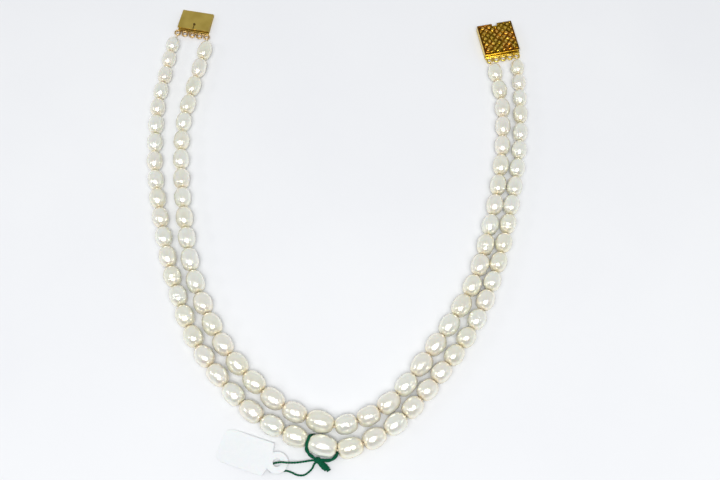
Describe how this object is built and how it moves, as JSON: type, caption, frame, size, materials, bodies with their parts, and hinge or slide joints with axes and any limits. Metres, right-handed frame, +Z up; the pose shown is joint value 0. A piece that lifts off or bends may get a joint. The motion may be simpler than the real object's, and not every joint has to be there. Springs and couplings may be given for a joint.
{
  "type": "pearl necklace",
  "caption": "Double-strand graduated pearl necklace, laid open, with knotted silk, a box clasp that holds both strands and a blank paper tag on a thread.",
  "frame": {"origin": "centre of the necklace's bounding box at the table, z = 0 under the pearls, the tag and its thread left out", "axes": "+Z up from the table; +Y from the middle of the strands towards the clasp; +X towards the box half of the clasp"},
  "size_m": [0.1663, 0.2156, 0.0086],
  "materials": {
    "pearl": "glossy cream-white nacre with a faint pink and green sheen",
    "clasp_gold": "polished and satin gold-coloured metal",
    "silk": "knotted cream silk",
    "green_thread": "twisted dark green cotton",
    "tag_paper": "plain white card, blank"
  },
  "bodies": {
    "strand_centre": {"inner_pearl_centre": "pearl", "outer_pearl_centre": "pearl", "tag_thread_wrap": "green_thread", "tag_thread_knot": "green_thread", "tag_thread_loop": "green_thread"},
    "left_length_01": {"inner_pearls_left_01": "pearl", "outer_pearls_left_01": "pearl"},
    "left_length_02": {"inner_pearls_left_02": "pearl", "outer_pearls_left_02": "pearl"},
    "left_length_03": {"inner_pearls_left_03": "pearl", "outer_pearls_left_03": "pearl"},
    "left_length_04": {"inner_pearls_left_04": "pearl", "outer_pearls_left_04": "pearl"},
    "left_length_05": {"inner_pearls_left_05": "pearl", "outer_pearls_left_05": "pearl"},
    "left_length_06": {"inner_pearls_left_06": "pearl", "outer_pearls_left_06": "pearl"},
    "left_length_07": {"inner_pearls_left_07": "pearl", "outer_pearls_left_07": "pearl"},
    "left_length_08": {"inner_pearls_left_08": "pearl", "outer_pearls_left_08": "pearl"},
    "left_length_09": {"inner_pearls_left_09": "pearl", "outer_pearls_left_09": "pearl"},
    "left_length_10": {"inner_pearls_left_10": "pearl", "outer_pearls_left_10": "pearl", "silk_loop_inner_left": "silk", "silk_loop_outer_left": "silk"},
    "tongue_half": {"tongue_ring_row": "clasp_gold", "tongue_base": "clasp_gold"},
    "right_length_01": {"inner_pearls_right_01": "pearl", "outer_pearls_right_01": "pearl"},
    "right_length_02": {"inner_pearls_right_02": "pearl", "outer_pearls_right_02": "pearl"},
    "right_length_03": {"inner_pearls_right_03": "pearl", "outer_pearls_right_03": "pearl"},
    "right_length_04": {"inner_pearls_right_04": "pearl", "outer_pearls_right_04": "pearl"},
    "right_length_05": {"inner_pearls_right_05": "pearl", "outer_pearls_right_05": "pearl"},
    "right_length_06": {"inner_pearls_right_06": "pearl", "outer_pearls_right_06": "pearl"},
    "right_length_07": {"inner_pearls_right_07": "pearl", "outer_pearls_right_07": "pearl"},
    "right_length_08": {"inner_pearls_right_08": "pearl", "outer_pearls_right_08": "pearl"},
    "right_length_09": {"inner_pearls_right_09": "pearl", "outer_pearls_right_09": "pearl"},
    "right_length_10": {"inner_pearls_right_10": "pearl", "outer_pearls_right_10": "pearl", "silk_loop_inner_right": "silk", "silk_loop_outer_right": "silk"},
    "box_half": {"box_ring_row": "clasp_gold", "box_tray": "clasp_gold", "box_cover": "clasp_gold"},
    "spring_leaf": {"tongue_spring_leaf": "clasp_gold", "tongue_thumb_catch": "clasp_gold"},
    "tag": {"tag_card": "tag_paper"}
  },
  "joints": [
    {"name": "left_bend_01", "type": "hinge", "parent": "strand_centre", "child": "left_length_01", "pos_m": [-0.01113, -0.09348, 0.00411], "axis": [-0.0753, 0.9972, 0.0026], "range_deg": [0, 10]},
    {"name": "left_bend_02", "type": "hinge", "parent": "left_length_01", "child": "left_length_02", "pos_m": [-0.03289, -0.08046, 0.00395], "axis": [0.8557, 0.5174, 0.0007], "range_deg": [0, 10]},
    {"name": "left_bend_03", "type": "hinge", "parent": "left_length_02", "child": "left_length_03", "pos_m": [-0.0463, -0.06539, 0.00392], "axis": [0.8472, 0.5312, 0.0063], "range_deg": [0, 10]},
    {"name": "left_bend_04", "type": "hinge", "parent": "left_length_03", "child": "left_length_04", "pos_m": [-0.05617, -0.04849, 0.00383], "axis": [0.7882, 0.6154, 0.0063], "range_deg": [0, 10]},
    {"name": "left_bend_05", "type": "hinge", "parent": "left_length_04", "child": "left_length_05", "pos_m": [-0.06301, -0.03041, 0.00373], "axis": [0.6893, 0.7245, 0.0046], "range_deg": [0, 10]},
    {"name": "left_bend_06", "type": "hinge", "parent": "left_length_05", "child": "left_length_06", "pos_m": [-0.06866, -0.00738, 0.0036], "axis": [0.9989, -0.0457, 0.0104], "range_deg": [0, 10]},
    {"name": "left_bend_07", "type": "hinge", "parent": "left_length_06", "child": "left_length_07", "pos_m": [-0.07185, 0.01085, 0.00349], "axis": [0.9986, 0.0528, 0.01], "range_deg": [0, 10]},
    {"name": "left_bend_08", "type": "hinge", "parent": "left_length_07", "child": "left_length_08", "pos_m": [-0.07379, 0.0292, 0.00339], "axis": [0.9957, 0.0924, 0.0083], "range_deg": [0, 10]},
    {"name": "left_bend_09", "type": "hinge", "parent": "left_length_08", "child": "left_length_09", "pos_m": [-0.07366, 0.04738, 0.00329], "axis": [0.994, 0.109, 0.0067], "range_deg": [0, 10]},
    {"name": "left_bend_10", "type": "hinge", "parent": "left_length_09", "child": "left_length_10", "pos_m": [-0.07053, 0.06935, 0.00314], "axis": [0.9239, -0.3825, 0.0122], "range_deg": [0, 10]},
    {"name": "tongue_half_flip", "type": "hinge", "parent": "left_length_10", "child": "tongue_half", "pos_m": [-0.06739, 0.08933, 0.0012], "axis": [0.9843, -0.1767, 0], "range_deg": [0, 60]},
    {"name": "right_bend_01", "type": "hinge", "parent": "strand_centre", "child": "right_length_01", "pos_m": [0.00002, -0.09695, 0.00411], "axis": [0.1433, -0.9897, -0.0027], "range_deg": [0, 10]},
    {"name": "right_bend_02", "type": "hinge", "parent": "right_length_01", "child": "right_length_02", "pos_m": [0.01805, -0.09022, 0.00396], "axis": [0.272, -0.9623, 0.0018], "range_deg": [0, 10]},
    {"name": "right_bend_03", "type": "hinge", "parent": "right_length_02", "child": "right_length_03", "pos_m": [0.03461, -0.07283, 0.00392], "axis": [0.9508, -0.3099, -0.0064], "range_deg": [0, 10]},
    {"name": "right_bend_04", "type": "hinge", "parent": "right_length_03", "child": "right_length_04", "pos_m": [0.04594, -0.05729, 0.00383], "axis": [0.8377, -0.5461, -0.0066], "range_deg": [0, 10]},
    {"name": "right_bend_05", "type": "hinge", "parent": "right_length_04", "child": "right_length_05", "pos_m": [0.05583, -0.04104, 0.00373], "axis": [0.6702, -0.7421, -0.0052], "range_deg": [0, 10]},
    {"name": "right_bend_06", "type": "hinge", "parent": "right_length_05", "child": "right_length_06", "pos_m": [0.06403, -0.01935, 0.0036], "axis": [0.9872, 0.1588, -0.0134], "range_deg": [0, 10]},
    {"name": "right_bend_07", "type": "hinge", "parent": "right_length_06", "child": "right_length_07", "pos_m": [0.06871, -0.00137, 0.00349], "axis": [0.9998, 0.0141, -0.0149], "range_deg": [0, 10]},
    {"name": "right_bend_08", "type": "hinge", "parent": "right_length_07", "child": "right_length_08", "pos_m": [0.07256, 0.01694, 0.00339], "axis": [0.9922, -0.1242, -0.0135], "range_deg": [0, 10]},
    {"name": "right_bend_09", "type": "hinge", "parent": "right_length_08", "child": "right_length_09", "pos_m": [0.07507, 0.03528, 0.00329], "axis": [0.9475, -0.3195, -0.011], "range_deg": [0, 10]},
    {"name": "right_bend_10", "type": "hinge", "parent": "right_length_09", "child": "right_length_10", "pos_m": [0.07604, 0.05778, 0.00314], "axis": [0.8798, 0.475, -0.0191], "range_deg": [0, 10]},
    {"name": "box_half_flip", "type": "hinge", "parent": "right_length_10", "child": "box_half", "pos_m": [0.07418, 0.07676, 0.0012], "axis": [0.9794, 0.2017, 0], "range_deg": [0, 60]},
    {"name": "spring_leaf_press", "type": "hinge", "parent": "tongue_half", "child": "spring_leaf", "pos_m": [-0.06537, 0.10136, 0.00125], "axis": [0.9829, -0.184, 0], "range_deg": [0, 5], "stiffness_Nm_per_rad": 0.02},
    {"name": "tag_swing", "type": "hinge", "parent": "strand_centre", "child": "tag", "pos_m": [-0.0226, -0.1058, 0.0016], "axis": [0, 0, 1], "range_deg": [-18, 18]}
  ]
}
